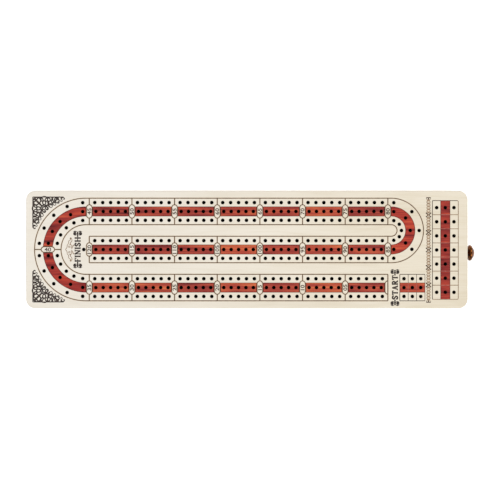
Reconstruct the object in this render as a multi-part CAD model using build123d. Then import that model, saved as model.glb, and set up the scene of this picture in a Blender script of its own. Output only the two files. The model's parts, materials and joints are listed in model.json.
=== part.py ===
from build123d import *
import os
from math import asin, atan2, cos, degrees, radians, sin

os.makedirs("parts", exist_ok=True)

# A cribbage board that is also a box: an inlaid top with three lanes of peg holes, over a case with one
# long drawer. Millimetres. The origin is the centre of the underside, +X is the drawer's end, +Z is up.

# Case
CASE_LENGTH = 381.0
CASE_WIDTH = 101.6
CORNER_RADIUS = 8.0
PANEL_THICKNESS = 4.0
CAVITY_HEIGHT = 24.6
TOP_THICKNESS = 12.0
RAIL_WIDTH = 9.0
END_THICKNESS = 10.0
TOP_EDGE_ROUND = 1.5
BASE_CHAMFER = 0.8

# Peg holes
HOLE_DIAMETER = 3.2
HOLE_DEPTH = 9.5
HOLES_PER_CELL = 5
OUTER_HOLE_PITCH = 6.82
INLAY_HOLE_PITCH = 6.37

# Track: three straight runs, one above the other, joined by two bends
TRACK_PITCH = 32.8
LANE_PITCH = 7.64
CELL_PITCH = 36.75
CELL_COUNT = 7
FIRST_SEPARATOR_X = -135.78
LEFT_BEND_X = -138.7
RIGHT_BEND_X = 124.4
LEFT_BEND_FIRST_HOLE = 2.75
LEFT_BEND_LAST_HOLE = 5.3
RIGHT_BEND_END_HOLE = 2.2
FINISH_HOLE_X = -140.5

# Start holes and games-won counter
START_X = 142.6
START_HOLE_PITCH = 7.225
START_BOX_LENGTH = 21.65
GAMES_X = 171.0
GAMES_Y = -0.4
GAMES_COLUMN_PITCH = 7.45
GAMES_ROW_PITCH = 12.15
GAMES_ROWS = 7

# Inlays
INLAY_WIDTH = 8.4
INLAY_DEPTH = 3.0
INLAY_GAP = 0.05
PLAQUE_WIDTH = 5.5

# Screws that hold the bottom panel
SCREW_SHANK = 2.8
SCREW_HEAD = 5.6
SCREW_LENGTH = 14.0
SCREW_SINK = 0.2
SCREW_CLEARANCE = 0.2
SCREW_SLOT = 0.8
RAIL_SCREW_X = (-165.0, -55.0, 55.0, 165.0)
END_SCREW_Y = (-22.0, 22.0)

# Drawer
DRAWER_SIDE_GAP = 0.4
DRAWER_LIFT = 0.2
DRAWER_HEAD_GAP = 0.4
DRAWER_END_GAP = 1.5
FRONT_INSET = 0.3
FRONT_THICKNESS = 10.0
FRONT_LAP = 5.0
FRONT_EDGE_ROUND = 0.6
DRAWER_WALL = 5.0
DRAWER_BOTTOM_THICKNESS = 3.0
GROOVE_HEIGHT = 2.0
GROOVE_DEPTH = 2.5
GROOVE_PLAY = 0.05
DIVIDER_THICKNESS = 4.0
DIVIDER_DROP = 2.0
DADO_DEPTH = 1.5
SCOOP_RADIUS = 14.0
SCOOP_DEPTH = 8.0
PEG_WELL = 62.0
CARD_WELL = 93.0

# Knob and its screw
KNOB_Y = -3.0
KNOB_RADIUS = 7.0
KNOB_PROJECTION = 11.5
KNOB_FOOT_RADIUS = 4.6
KNOB_FOOT_THICKNESS = 1.8
KNOB_FOOT_ROUND = 0.9
KNOB_WAIST_RADIUS = 2.9
KNOB_WAIST_X = 3.6
KNOB_FLARE_X = 5.9
KNOB_RIM_X = 7.6
KNOB_DOME_X = 9.0
KNOB_FLARE_DROP = 1.6
KNOB_DOME_DROP = 1.1
KNOB_BORE_DEPTH = 6.5
KNOB_SCREW_RADIUS = 1.95
KNOB_SCREW_HEAD_RADIUS = 3.8
KNOB_SCREW_HEAD_HEIGHT = 2.3
KNOB_SCREW_REACH = 6.0
KNOB_SCREW_RECESS = 1.0
WASHER_RADIUS = 4.6
WASHER_THICKNESS = 0.8

# Pegs
PEG_LENGTH = 27.0
PEG_HEAD_RADIUS = 2.4
PEG_HEAD_X = 25.0
PEG_HEAD_RIM = 1.0
PEG_TIP_RADIUS = 1.15
PEG_TIP_BEVEL = 0.5
PEG_SHANK_RADIUS = 1.5
PEG_SHANK_LENGTH = 12.0
PEG_COLLAR_RADIUS = 1.7
PEG_COLLAR_LENGTH = 1.0
PEG_WAIST_RADIUS = 1.35
PEG_METALS = ("brass", "copper", "steel")
PEGS_PER_METAL = 3
PEG_FLOOR_GAP = 0.02
PEG_SPACING = 7.4
PEG_GROUP_SPACING = 23.5
PEG_YAWS = (4.0, -3.0, 2.0)
PEG_OFFSETS = (-3.0, 2.0, -1.0)

# Sizes that follow from those
CASE_HEIGHT = PANEL_THICKNESS + CAVITY_HEIGHT + TOP_THICKNESS
TOP_Z = CASE_HEIGHT - TOP_THICKNESS
CAVITY_HALF_WIDTH = CASE_WIDTH / 2 - RAIL_WIDTH
DRAWER_HALF_WIDTH = CAVITY_HALF_WIDTH - DRAWER_SIDE_GAP
DRAWER_INNER_HALF = DRAWER_HALF_WIDTH - DRAWER_WALL
DRAWER_FRONT_X = CASE_LENGTH / 2 - FRONT_INSET
DRAWER_INNER_FRONT_X = DRAWER_FRONT_X - FRONT_THICKNESS
DRAWER_BACK_X = -CASE_LENGTH / 2 + END_THICKNESS + DRAWER_END_GAP
DRAWER_Z0 = PANEL_THICKNESS + DRAWER_LIFT
DRAWER_Z1 = TOP_Z - DRAWER_HEAD_GAP
DRAWER_FLOOR_Z = DRAWER_Z0 + GROOVE_HEIGHT + DRAWER_BOTTOM_THICKNESS
KNOB_Z = (DRAWER_Z0 + DRAWER_Z1) / 2
INLAY_Z = CASE_HEIGHT - INLAY_DEPTH
ALONG_X = Plane.YZ


def block(x0, x1, y0, y1, z0, z1):
    """A box between two corners."""
    middle = ((x0 + x1) / 2, (y0 + y1) / 2, (z0 + z1) / 2)
    return Pos(*middle) * Box(x1 - x0, y1 - y0, z1 - z0)


def rod(radius, x0, x1, y, z):
    """A cylinder along X between two stations."""
    return Pos(x0, y, z) * extrude(ALONG_X * Circle(radius), x1 - x0)


def rectangle(x0, x1, y0, y1):
    """A flat rectangle between two corners."""
    return Pos((x0 + x1) / 2, (y0 + y1) / 2) * Rectangle(x1 - x0, y1 - y0)


def case_prism(z0, z1):
    """The case's outline, with its rounded corners, between two heights."""
    outline = RectangleRounded(CASE_LENGTH, CASE_WIDTH, CORNER_RADIUS)
    return Pos(0, 0, z0) * extrude(outline, z1 - z0)


def write(name, shape):
    """Write one sub-part under its node's name."""
    export_step(shape, f"parts/{name}.step")


# ---- The track's holes ----


def five(step):
    """Offsets of a cell's holes from its middle."""
    return [step * (i - (HOLES_PER_CELL - 1) / 2) for i in range(HOLES_PER_CELL)]


def straight_holes():
    """Three lanes of seven cells on each of the three straight runs."""
    points = []
    for run in (1, 0, -1):
        for lane in (1, 0, -1):
            step = OUTER_HOLE_PITCH if lane else INLAY_HOLE_PITCH
            y = run * TRACK_PITCH + lane * LANE_PITCH
            for cell in range(CELL_COUNT):
                middle = FIRST_SEPARATOR_X + CELL_PITCH * (cell + 0.5)
                points += [(middle + offset, y) for offset in five(step)]
    return points


def left_bend_holes():
    """Five holes in each quarter of the wide bend, in each lane."""
    points = []
    for lane in (1, 0, -1):
        radius = TRACK_PITCH + lane * LANE_PITCH
        first = asin(LEFT_BEND_FIRST_HOLE / radius)
        last = radians(90) - asin(LEFT_BEND_LAST_HOLE / radius)
        for i in range(HOLES_PER_CELL):
            angle = first + (last - first) * i / (HOLES_PER_CELL - 1)
            x = LEFT_BEND_X - radius * sin(angle)
            y = radius * cos(angle)
            points += [(x, y), (x, -y)]
    return points


def right_bend_holes():
    """Five holes round the tight half bend, in each lane."""
    points = []
    for lane in (1, 0, -1):
        radius = TRACK_PITCH / 2 + lane * LANE_PITCH
        first = asin(RIGHT_BEND_END_HOLE / radius)
        for i in range(HOLES_PER_CELL):
            angle = first + (radians(180) - 2 * first) * i / (HOLES_PER_CELL - 1)
            points.append((RIGHT_BEND_X + radius * sin(angle), TRACK_PITCH / 2 + radius * cos(angle)))
    return points


def start_holes():
    """Three start holes in each lane, before the first cell."""
    columns = [START_X + START_HOLE_PITCH * i for i in (-1, 0, 1)]
    rows = [-TRACK_PITCH + LANE_PITCH * i for i in (-1, 0, 1)]
    return [(x, y) for x in columns for y in rows]


def games_holes():
    """Seven games-won holes for each of three players."""
    columns = [GAMES_X + GAMES_COLUMN_PITCH * i for i in (-1, 0, 1)]
    rows = [GAMES_Y + GAMES_ROW_PITCH * (i - (GAMES_ROWS - 1) / 2) for i in range(GAMES_ROWS)]
    return [(x, y) for x in columns for y in rows]


def all_holes():
    """Every peg hole's centre."""
    return (
        straight_holes()
        + left_bend_holes()
        + right_bend_holes()
        + start_holes()
        + games_holes()
        + [(FINISH_HOLE_X, 0.0)]
    )


# ---- The inlays' outlines, each with a gap added all round ----


def separator_x(index):
    return FIRST_SEPARATOR_X + CELL_PITCH * index


def straight_inlay(cell, run, gap):
    """One cell of a straight run, between two number plaques."""
    x0 = separator_x(cell) + PLAQUE_WIDTH / 2 - gap
    x1 = separator_x(cell + 1) - PLAQUE_WIDTH / 2 + gap
    half = INLAY_WIDTH / 2 + gap
    return rectangle(x0, x1, run * TRACK_PITCH - half, run * TRACK_PITCH + half)


def ring(radius, gap):
    half = INLAY_WIDTH / 2 + gap
    return Circle(radius + half) - Circle(radius - half)


def left_bend_inlay(side, gap):
    """A quarter of the wide bend, from the plaque on a straight run to the plaque on the bend's side."""
    reach = TRACK_PITCH + INLAY_WIDTH
    end_x = separator_x(0) - PLAQUE_WIDTH / 2 + gap
    y0, y1 = sorted((side * (PLAQUE_WIDTH / 2 - gap), side * reach))
    quarter = (Pos(LEFT_BEND_X, 0) * ring(TRACK_PITCH, gap)) & rectangle(
        LEFT_BEND_X - reach, LEFT_BEND_X, y0, y1
    )
    half = INLAY_WIDTH / 2 + gap
    lead = rectangle(LEFT_BEND_X, end_x, side * TRACK_PITCH - half, side * TRACK_PITCH + half)
    return quarter + lead


def right_bend_inlay(gap):
    """The tight half bend between the upper and the middle run."""
    reach = TRACK_PITCH / 2 + INLAY_WIDTH
    start_x = separator_x(CELL_COUNT) + PLAQUE_WIDTH / 2 - gap
    middle = TRACK_PITCH / 2
    half_ring = (Pos(RIGHT_BEND_X, middle) * ring(middle, gap)) & rectangle(
        RIGHT_BEND_X, RIGHT_BEND_X + reach, middle - reach, middle + reach
    )
    half = INLAY_WIDTH / 2 + gap
    upper = rectangle(start_x, RIGHT_BEND_X, TRACK_PITCH - half, TRACK_PITCH + half)
    lower = rectangle(start_x, RIGHT_BEND_X, -half, half)
    return half_ring + upper + lower


def start_inlay(gap):
    half_length = START_BOX_LENGTH / 2 + gap
    half = INLAY_WIDTH / 2 + gap
    return rectangle(START_X - half_length, START_X + half_length, -TRACK_PITCH - half, -TRACK_PITCH + half)


def games_inlay(gap):
    half_length = GAMES_ROWS * GAMES_ROW_PITCH / 2 + gap
    half = INLAY_WIDTH / 2 + gap
    return rectangle(GAMES_X - half, GAMES_X + half, GAMES_Y - half_length, GAMES_Y + half_length)


def inlay_outlines(gap):
    """Every inlay's outline under its node's name, which holds the scores that it carries."""
    outlines = {}
    per_run = CELL_COUNT * HOLES_PER_CELL
    after_left_bend = per_run + 2 * HOLES_PER_CELL
    after_right_bend = after_left_bend + per_run + HOLES_PER_CELL

    def scores(before):
        return f"inlay_{before + 1:03d}_{before + HOLES_PER_CELL:03d}"

    for cell in range(CELL_COUNT):
        backwards = CELL_COUNT - 1 - cell
        outlines[scores(backwards * HOLES_PER_CELL)] = straight_inlay(cell, -1, gap)
        outlines[scores(after_left_bend + cell * HOLES_PER_CELL)] = straight_inlay(cell, 1, gap)
        outlines[scores(after_right_bend + backwards * HOLES_PER_CELL)] = straight_inlay(cell, 0, gap)
    outlines[scores(per_run)] = left_bend_inlay(-1, gap)
    outlines[scores(per_run + HOLES_PER_CELL)] = left_bend_inlay(1, gap)
    outlines[scores(after_right_bend - HOLES_PER_CELL)] = right_bend_inlay(gap)
    outlines["inlay_start"] = start_inlay(gap)
    outlines["inlay_games"] = games_inlay(gap)
    return outlines


# ---- Case ----


def hole_tools(z0, z1, points):
    """Drills for the given hole centres, as one group of cylinders."""
    discs = Sketch() + [Pos(x, y) * Circle(HOLE_DIAMETER / 2) for x, y in points]
    return Pos(0, 0, z0) * extrude(discs, z1 - z0)


def top_board():
    """The solid top, with rounded upper edges, a pocket for each inlay, and the peg holes."""
    board = case_prism(TOP_Z, CASE_HEIGHT)
    board = fillet(board.faces().sort_by(Axis.Z)[-1].edges(), TOP_EDGE_ROUND)
    pockets = Sketch() + list(inlay_outlines(INLAY_GAP).values())
    board -= Pos(0, 0, INLAY_Z) * extrude(pockets, INLAY_DEPTH)
    board -= hole_tools(CASE_HEIGHT - HOLE_DEPTH, CASE_HEIGHT, all_holes())
    return board


def inlay(outline):
    """One bloodwood strip, with the holes that pass through it."""
    strip = Pos(0, 0, INLAY_Z) * extrude(outline, INLAY_DEPTH)
    box = strip.bounding_box()
    inside = [
        (x, y)
        for x, y in all_holes()
        if box.min.X < x < box.max.X and box.min.Y < y < box.max.Y
    ]
    return strip - hole_tools(INLAY_Z, CASE_HEIGHT, inside)


def screw_places():
    """Where the bottom panel's screws stand: along both rails and under the end block."""
    rail_y = CASE_WIDTH / 2 - RAIL_WIDTH / 2
    along_rails = [(x, side * rail_y) for x in RAIL_SCREW_X for side in (1, -1)]
    end_x = -CASE_LENGTH / 2 + END_THICKNESS / 2
    return along_rails + [(end_x, y) for y in END_SCREW_Y]


def pilot_holes():
    """Blind holes that the panel's screws run up into."""
    radius = SCREW_SHANK / 2 + INLAY_GAP
    discs = Sketch() + [Pos(x, y) * Circle(radius) for x, y in screw_places()]
    return Pos(0, 0, PANEL_THICKNESS) * extrude(discs, SCREW_LENGTH - PANEL_THICKNESS + 1.0)


def side_rail(side):
    """A long wall of the case; side is +1 for the rear and -1 for the front."""
    y0, y1 = sorted((side * CAVITY_HALF_WIDTH, side * CASE_WIDTH / 2))
    span = block(-CASE_LENGTH / 2, CASE_LENGTH / 2, y0, y1, PANEL_THICKNESS, TOP_Z)
    return (case_prism(PANEL_THICKNESS, TOP_Z) & span) - pilot_holes()


def end_block():
    """The closed end, between the rails."""
    x0 = -CASE_LENGTH / 2
    wall = block(x0, x0 + END_THICKNESS, -CAVITY_HALF_WIDTH, CAVITY_HALF_WIDTH, PANEL_THICKNESS, TOP_Z)
    return wall - pilot_holes()


def countersunk(radius, head_radius):
    """A screw's outline at a given size, point up, with its head's flat at the origin."""
    depth = head_radius - radius
    head = Pos(0, 0, depth / 2) * Cone(head_radius, radius, depth)
    return head + Pos(0, 0, SCREW_LENGTH / 2) * Cylinder(radius, SCREW_LENGTH)


def bottom_panel():
    """The thin bottom, chamfered underneath, with countersunk holes."""
    panel = case_prism(0, PANEL_THICKNESS)
    panel = chamfer(panel.faces().sort_by(Axis.Z)[0].edges(), BASE_CHAMFER)
    tool = countersunk(SCREW_SHANK / 2 + SCREW_CLEARANCE, SCREW_HEAD / 2 + SCREW_CLEARANCE)
    mouth = Pos(0, 0, -SCREW_SINK / 2) * Cylinder(SCREW_HEAD / 2 + SCREW_CLEARANCE, SCREW_SINK)
    for x, y in screw_places():
        panel -= Pos(x, y, SCREW_SINK) * (tool + mouth)
    return panel


def bottom_screws():
    """The slotted brass screws, with their heads just below the underside."""
    slot = Pos(0, 0, SCREW_SLOT / 2) * Box(SCREW_HEAD, SCREW_SLOT, SCREW_SLOT)
    screw = countersunk(SCREW_SHANK / 2, SCREW_HEAD / 2) - slot
    turns = [37 * i % 180 for i in range(len(screw_places()))]
    placed = [
        Pos(x, y, SCREW_SINK) * Rot(0, 0, turn) * screw
        for (x, y), turn in zip(screw_places(), turns)
    ]
    return Compound(children=placed)


# ---- Drawer ----


def divider_places():
    """The X of each divider's front face, from the peg well backwards."""
    first = DRAWER_INNER_FRONT_X - PEG_WELL
    second = first - DIVIDER_THICKNESS - CARD_WELL
    return [first, second, second - DIVIDER_THICKNESS - CARD_WELL]


def bottom_groove(side):
    """The groove along a drawer side that the bottom slides into."""
    z0 = DRAWER_Z0 + GROOVE_HEIGHT
    y0, y1 = sorted((side * DRAWER_INNER_HALF, side * (DRAWER_INNER_HALF + GROOVE_DEPTH)))
    return block(
        DRAWER_BACK_X, DRAWER_FRONT_X, y0, y1, z0 - GROOVE_PLAY, DRAWER_FLOOR_Z + GROOVE_PLAY
    )


def drawer_side(side):
    """A drawer side, lapped into the front, grooved for the bottom and dadoed for the dividers."""
    y0, y1 = sorted((side * DRAWER_INNER_HALF, side * DRAWER_HALF_WIDTH))
    wall = block(DRAWER_BACK_X, DRAWER_INNER_FRONT_X + FRONT_LAP, y0, y1, DRAWER_Z0, DRAWER_Z1)
    wall -= bottom_groove(side)
    y0, y1 = sorted((side * DRAWER_INNER_HALF, side * (DRAWER_INNER_HALF + DADO_DEPTH)))
    for x in divider_places():
        x0 = x - DIVIDER_THICKNESS - GROOVE_PLAY
        wall -= block(x0, x + GROOVE_PLAY, y0, y1, DRAWER_FLOOR_Z, DRAWER_Z1)
    return wall


def drawer_front():
    """The drawer's front, with eased outer edges, laps for the sides, a groove and the knob's hole."""
    x0, x1 = DRAWER_INNER_FRONT_X, DRAWER_FRONT_X
    half = DRAWER_HALF_WIDTH
    board = block(x0, x1, -half, half, DRAWER_Z0, DRAWER_Z1)
    board = fillet(board.faces().sort_by(Axis.X)[-1].edges(), FRONT_EDGE_ROUND)
    for side in (1, -1):
        y0, y1 = sorted((side * DRAWER_INNER_HALF, side * half))
        board -= block(x0, x0 + FRONT_LAP, y0, y1, DRAWER_Z0, DRAWER_Z1)
    z0, z1 = DRAWER_Z0 + GROOVE_HEIGHT - GROOVE_PLAY, DRAWER_FLOOR_Z + GROOVE_PLAY
    inner = DRAWER_INNER_HALF
    board -= block(x0, x0 + GROOVE_DEPTH, -inner, inner, z0, z1)
    board -= rod(KNOB_SCREW_RADIUS + SCREW_CLEARANCE, x0, x1, KNOB_Y, KNOB_Z)
    return board


def drawer_back():
    """The drawer's back, standing on the bottom between the sides."""
    x1 = DRAWER_BACK_X + DRAWER_WALL
    return block(DRAWER_BACK_X, x1, -DRAWER_INNER_HALF, DRAWER_INNER_HALF, DRAWER_FLOOR_Z, DRAWER_Z1)


def drawer_bottom():
    """The thin bottom, held in the grooves and running under the back."""
    half = DRAWER_INNER_HALF + GROOVE_DEPTH - GROOVE_PLAY
    inner = DRAWER_INNER_HALF
    z0 = DRAWER_Z0 + GROOVE_HEIGHT
    x1 = DRAWER_INNER_FRONT_X
    sheet = block(DRAWER_BACK_X, x1, -half, half, z0, DRAWER_FLOOR_Z)
    tongue = block(x1, x1 + GROOVE_DEPTH - GROOVE_PLAY, -inner, inner, z0, DRAWER_FLOOR_Z)
    return sheet + tongue


def drawer_divider(x):
    """A divider with a finger scoop in its top edge; x is its front face."""
    half = DRAWER_INNER_HALF + DADO_DEPTH - GROOVE_PLAY
    z1 = DRAWER_Z1 - DIVIDER_DROP
    wall = block(x - DIVIDER_THICKNESS, x, -half, half, DRAWER_FLOOR_Z, z1)
    scoop = rod(SCOOP_RADIUS, x - DIVIDER_THICKNESS, x, 0, z1 + SCOOP_RADIUS - SCOOP_DEPTH)
    return wall - scoop


# ---- Knob ----


def cap(x0, radius, x1):
    """The outline of a spherical cap about the X axis, from its rim to its top."""
    rise = x1 - x0
    ball = (radius**2 + rise**2) / (2 * rise)
    centre = x1 - ball
    angle = atan2(radius, x0 - centre) / 2
    middle = (centre + ball * cos(angle), ball * sin(angle))
    return ThreePointArc((x0, radius), middle, (x1, 0))


def knob():
    """A turned knob: a foot, a waist and a domed head with a rim, bored from behind for its screw."""
    foot, rim = KNOB_FOOT_RADIUS, KNOB_RADIUS
    foot_x, foot_top = KNOB_FOOT_THICKNESS, KNOB_FOOT_RADIUS - KNOB_FOOT_ROUND
    flare = (KNOB_FLARE_X, rim - KNOB_FLARE_DROP)
    dome = (KNOB_DOME_X, rim - KNOB_DOME_DROP)
    waist = (KNOB_WAIST_X, KNOB_WAIST_RADIUS)
    face = make_face(
        [
            Line((0, 0), (0, foot)),
            Line((0, foot), (foot_x - KNOB_FOOT_ROUND, foot)),
            RadiusArc((foot_x - KNOB_FOOT_ROUND, foot), (foot_x, foot_top), KNOB_FOOT_ROUND),
            Spline((foot_x, foot_top), waist, flare, tangents=((0.6, -1), (0.35, 1))),
            ThreePointArc(flare, (KNOB_FLARE_X + 0.7, rim - 0.25), (KNOB_RIM_X, rim)),
            ThreePointArc((KNOB_RIM_X, rim), (KNOB_RIM_X + 0.9, rim - 0.35), dome),
            cap(*dome, KNOB_PROJECTION),
            Line((KNOB_PROJECTION, 0), (0, 0)),
        ]
    )
    turned = Pos(DRAWER_FRONT_X, KNOB_Y, KNOB_Z) * revolve(face, Axis.X)
    bore_end = DRAWER_FRONT_X + KNOB_BORE_DEPTH
    return turned - rod(KNOB_SCREW_RADIUS + GROOVE_PLAY, DRAWER_FRONT_X, bore_end, KNOB_Y, KNOB_Z)


def knob_washer():
    x1 = DRAWER_INNER_FRONT_X
    disc = rod(WASHER_RADIUS, x1 - WASHER_THICKNESS, x1, KNOB_Y, KNOB_Z)
    return disc - rod(KNOB_SCREW_RADIUS + SCREW_CLEARANCE, x1 - WASHER_THICKNESS, x1, KNOB_Y, KNOB_Z)


def knob_screw():
    """The pan-headed machine screw that holds the knob from inside the drawer."""
    seat_x = DRAWER_INNER_FRONT_X - WASHER_THICKNESS
    head_x = seat_x - KNOB_SCREW_HEAD_HEIGHT
    head = rod(KNOB_SCREW_HEAD_RADIUS, head_x, seat_x, KNOB_Y, KNOB_Z)
    head = fillet(head.faces().sort_by(Axis.X)[0].edges(), KNOB_SCREW_HEAD_HEIGHT / 2)
    shank = rod(KNOB_SCREW_RADIUS, seat_x, DRAWER_FRONT_X + KNOB_SCREW_REACH, KNOB_Y, KNOB_Z)
    recess = Box(KNOB_SCREW_RECESS, 1.2 * KNOB_SCREW_HEAD_RADIUS, SCREW_SLOT)
    centre = Pos(head_x + KNOB_SCREW_RECESS / 2, KNOB_Y, KNOB_Z)
    return head + shank - centre * recess - centre * Rot(90, 0, 0) * recess


# ---- Pegs ----


def peg():
    """A turned metal peg along X: a slightly tapered pin, a collar, a waist and a flared head."""
    shank, collar, waist = PEG_SHANK_RADIUS, PEG_COLLAR_RADIUS, PEG_WAIST_RADIUS
    tip, rim = PEG_TIP_RADIUS, PEG_HEAD_RADIUS
    shoulder_x = PEG_SHANK_LENGTH
    collar_x = shoulder_x + PEG_COLLAR_LENGTH
    waist_x = collar_x + collar - waist
    neck = (PEG_HEAD_X - PEG_HEAD_RIM, rim - PEG_HEAD_RIM / 3)
    outline = [
        (PEG_LENGTH, 0),
        (0, 0),
        (0, tip - PEG_TIP_BEVEL),
        (PEG_TIP_BEVEL, tip),
        (shoulder_x, shank),
        (shoulder_x, collar),
        (collar_x, collar),
        (waist_x, waist),
        neck,
        (PEG_HEAD_X, rim),
    ]
    face = make_face([Polyline(*outline), cap(PEG_HEAD_X, rim, PEG_LENGTH)])
    return revolve(face, Axis.X)


def lying_pegs():
    """Each metal's pegs side by side on the drawer's floor, each touching it with its tip and its head."""
    rise = PEG_HEAD_RADIUS - PEG_TIP_RADIUS
    tilt = atan2(rise, PEG_HEAD_X - PEG_TIP_BEVEL)
    head_from_middle = PEG_HEAD_X - PEG_LENGTH / 2
    rest_z = DRAWER_FLOOR_Z + PEG_FLOOR_GAP
    rest_z += PEG_HEAD_RADIUS * cos(tilt) - head_from_middle * sin(tilt)
    tilted = Rot(0, -degrees(tilt), 0) * Pos(-PEG_LENGTH / 2, 0, 0) * peg()
    middle_x = DRAWER_INNER_FRONT_X - PEG_WELL / 2
    pegs = {}
    for group, metal in enumerate(PEG_METALS):
        for i in range(PEGS_PER_METAL):
            y = PEG_GROUP_SPACING * (group - 1) + PEG_SPACING * (i - 1)
            x = middle_x + PEG_OFFSETS[(group + i) % PEGS_PER_METAL]
            yaw = PEG_YAWS[(group + 2 * i) % PEGS_PER_METAL] + 180 * (group % 2)
            pegs[f"peg_{metal}_{i + 1}"] = Pos(x, y, rest_z) * Rot(0, 0, yaw) * tilted
    return pegs


write("top_board", top_board())
write("side_rail_front", side_rail(-1))
write("side_rail_rear", side_rail(1))
write("end_block", end_block())
write("bottom_panel", bottom_panel())
write("bottom_screws", bottom_screws())
for name, outline in inlay_outlines(0.0).items():
    write(name, inlay(outline))

write("drawer_front", drawer_front())
write("drawer_side_front", drawer_side(-1))
write("drawer_side_rear", drawer_side(1))
write("drawer_back", drawer_back())
write("drawer_bottom", drawer_bottom())
for number, place in enumerate(divider_places(), start=1):
    write(f"drawer_divider_{number}", drawer_divider(place))
write("drawer_knob", knob())
write("knob_washer", knob_washer())
write("knob_screw", knob_screw())
for name, shape in lying_pegs().items():
    write(name, shape)
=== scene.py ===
import json
from functools import partial
from math import asin, atan2, ceil, cos, degrees, pi, radians, sin

import bmesh
import bpy
from mathutils import Matrix, Vector
from mathutils.geometry import convex_hull_2d, delaunay_2d_cdt

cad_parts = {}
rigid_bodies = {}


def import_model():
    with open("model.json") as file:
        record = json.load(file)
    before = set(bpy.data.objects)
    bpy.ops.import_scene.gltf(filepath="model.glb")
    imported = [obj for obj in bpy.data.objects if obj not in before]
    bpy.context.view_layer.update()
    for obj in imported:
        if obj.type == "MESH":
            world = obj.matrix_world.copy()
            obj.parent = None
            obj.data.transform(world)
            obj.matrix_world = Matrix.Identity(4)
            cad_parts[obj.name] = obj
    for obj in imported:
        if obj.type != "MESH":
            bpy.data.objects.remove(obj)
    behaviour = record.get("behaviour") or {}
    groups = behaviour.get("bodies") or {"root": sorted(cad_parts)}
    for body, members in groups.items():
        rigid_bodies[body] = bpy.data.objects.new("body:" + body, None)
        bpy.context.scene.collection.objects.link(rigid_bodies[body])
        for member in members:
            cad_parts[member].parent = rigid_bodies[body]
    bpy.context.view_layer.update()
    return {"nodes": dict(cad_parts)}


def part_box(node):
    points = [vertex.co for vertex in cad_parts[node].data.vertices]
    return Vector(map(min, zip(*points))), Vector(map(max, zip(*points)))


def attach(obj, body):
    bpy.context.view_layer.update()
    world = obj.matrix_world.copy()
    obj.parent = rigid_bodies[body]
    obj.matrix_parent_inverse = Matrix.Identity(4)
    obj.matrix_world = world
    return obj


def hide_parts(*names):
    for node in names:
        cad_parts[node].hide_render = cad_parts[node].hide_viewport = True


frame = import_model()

# A cribbage board that is also a box with a drawer. Plans are drawn in millimetres, in the frame's axes:
# +X towards the drawer's knob, +Y to the rear, +Z up. Meshes are kept in metres.
MM = 0.001


def box_mm(node):
    """A CAD node's lowest and highest corner, in millimetres."""
    low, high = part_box(node)
    return low / MM, high / MM


# ---- Sizes, in millimetres ----

BOARD_LOW, BOARD_HIGH = box_mm("top_board")
HALF_LENGTH, HALF_WIDTH, TOP = BOARD_HIGH
CORNER_RADIUS = 8.0
EDGE_ROUND = 1.5
EASE = 0.3
SIDE_EASE = 0.2
PLY_EASE = 0.1
# How far a round's middle lies from both of its faces, as a share of its radius.
ROUND_MIDDLE = 0.3

HOLE_DIAMETER = 3.2
HOLE_DEPTH = 9.5
HOLES_PER_CELL = 5
OUTER_HOLE_PITCH = 6.82
INLAY_HOLE_PITCH = 6.37

TRACK_PITCH = 32.8
LANE_PITCH = 7.64
LANE_EDGE = 11.4
CELL_PITCH = 36.75
CELL_COUNT = 7
FIRST_SEPARATOR_X = -135.78
LEFT_BEND_X = -138.7
RIGHT_BEND_X = 124.4
LEFT_BEND_FIRST_HOLE = 2.75
LEFT_BEND_LAST_HOLE = 5.3
RIGHT_BEND_END_HOLE = 2.2
FINISH_HOLE_X = -140.5

START_X = 142.6
START_PITCH = 7.225
START_HALF = 1.5 * START_PITCH
GAMES_X = 171.0
GAMES_Y = -0.4
GAMES_COLUMN_PITCH = 7.45
GAMES_HALF_WIDTH = 11.15
GAMES_ROW_PITCH = 12.15
GAMES_ROWS = 7
GAMES_HALF = GAMES_ROWS * GAMES_ROW_PITCH / 2
GAMES_CORNER = 1.0

INLAY_WIDTH = 8.4
INLAY_DEPTH = 3.0
INLAY_GAP = 0.05
# Width of each strip's dark rim, partly scorch and partly painted shade along the seam.
INLAY_EDGE = 0.55
PLAQUE_WIDTH = 5.5
PLAQUE_SIDE = 3.0
PLAQUE_TIP = 6.1
DIGIT_HEIGHT = 3.2
DIGIT_STRETCH = 1.25
DIGIT_BOLD = 0.24

OUTLINE_WIDTH = 0.62
SEPARATOR_WIDTH = 0.7
PLAQUE_LINE = 0.6
RULE_WIDTH = 0.6
THIN_RULE = 0.45
SCORCH_WIDTH = 0.28
LINE_DEPTH = 0.25
EDGE_DEPTH = 0.06
FINE_DEPTH = 0.14
TAN_DEPTH = 0.05

PANEL_CHAMFER = 0.8
SCREW_X = (-165.0, -55.0, 55.0, 165.0)
SCREW_END_Y = 22.0
SCREW_HOLE_RADIUS = 1.6
SCREW_MOUTH_RADIUS = 3.0
SCREW_MOUTH_DEPTH = 0.2
SCOOP_RADIUS = 14.0
SCOOP_DEPTH = 8.0

SAME_POINT = 0.002
# Edges that turn by more than this many degrees stay sharp.
BOARD_ANGLE = 40
TURNED_ANGLE = 32
# CAD edges that turn by more than this are eased.
EASED_ANGLE = 50


# ---- Outlines and plans: a plan is a flat map made of closed loops, each of one kind ----


def arc(x, y, radius, start, end, step=4.0):
    """Points along an arc, its angles in degrees."""
    count = max(2, ceil(abs(end - start) / step))
    angles = [radians(start + (end - start) * i / count) for i in range(count + 1)]
    return [(x + radius * cos(a), y + radius * sin(a)) for a in angles]


def circle(x, y, radius, sides=24):
    return arc(x, y, radius, 0, 360, 360 / sides)[:-1]


def rectangle(x0, x1, y0, y1, inset=0):
    x0, x1, y0, y1 = x0 + inset, x1 - inset, y0 + inset, y1 - inset
    return [(x0, y0), (x1, y0), (x1, y1), (x0, y1)]


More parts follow.
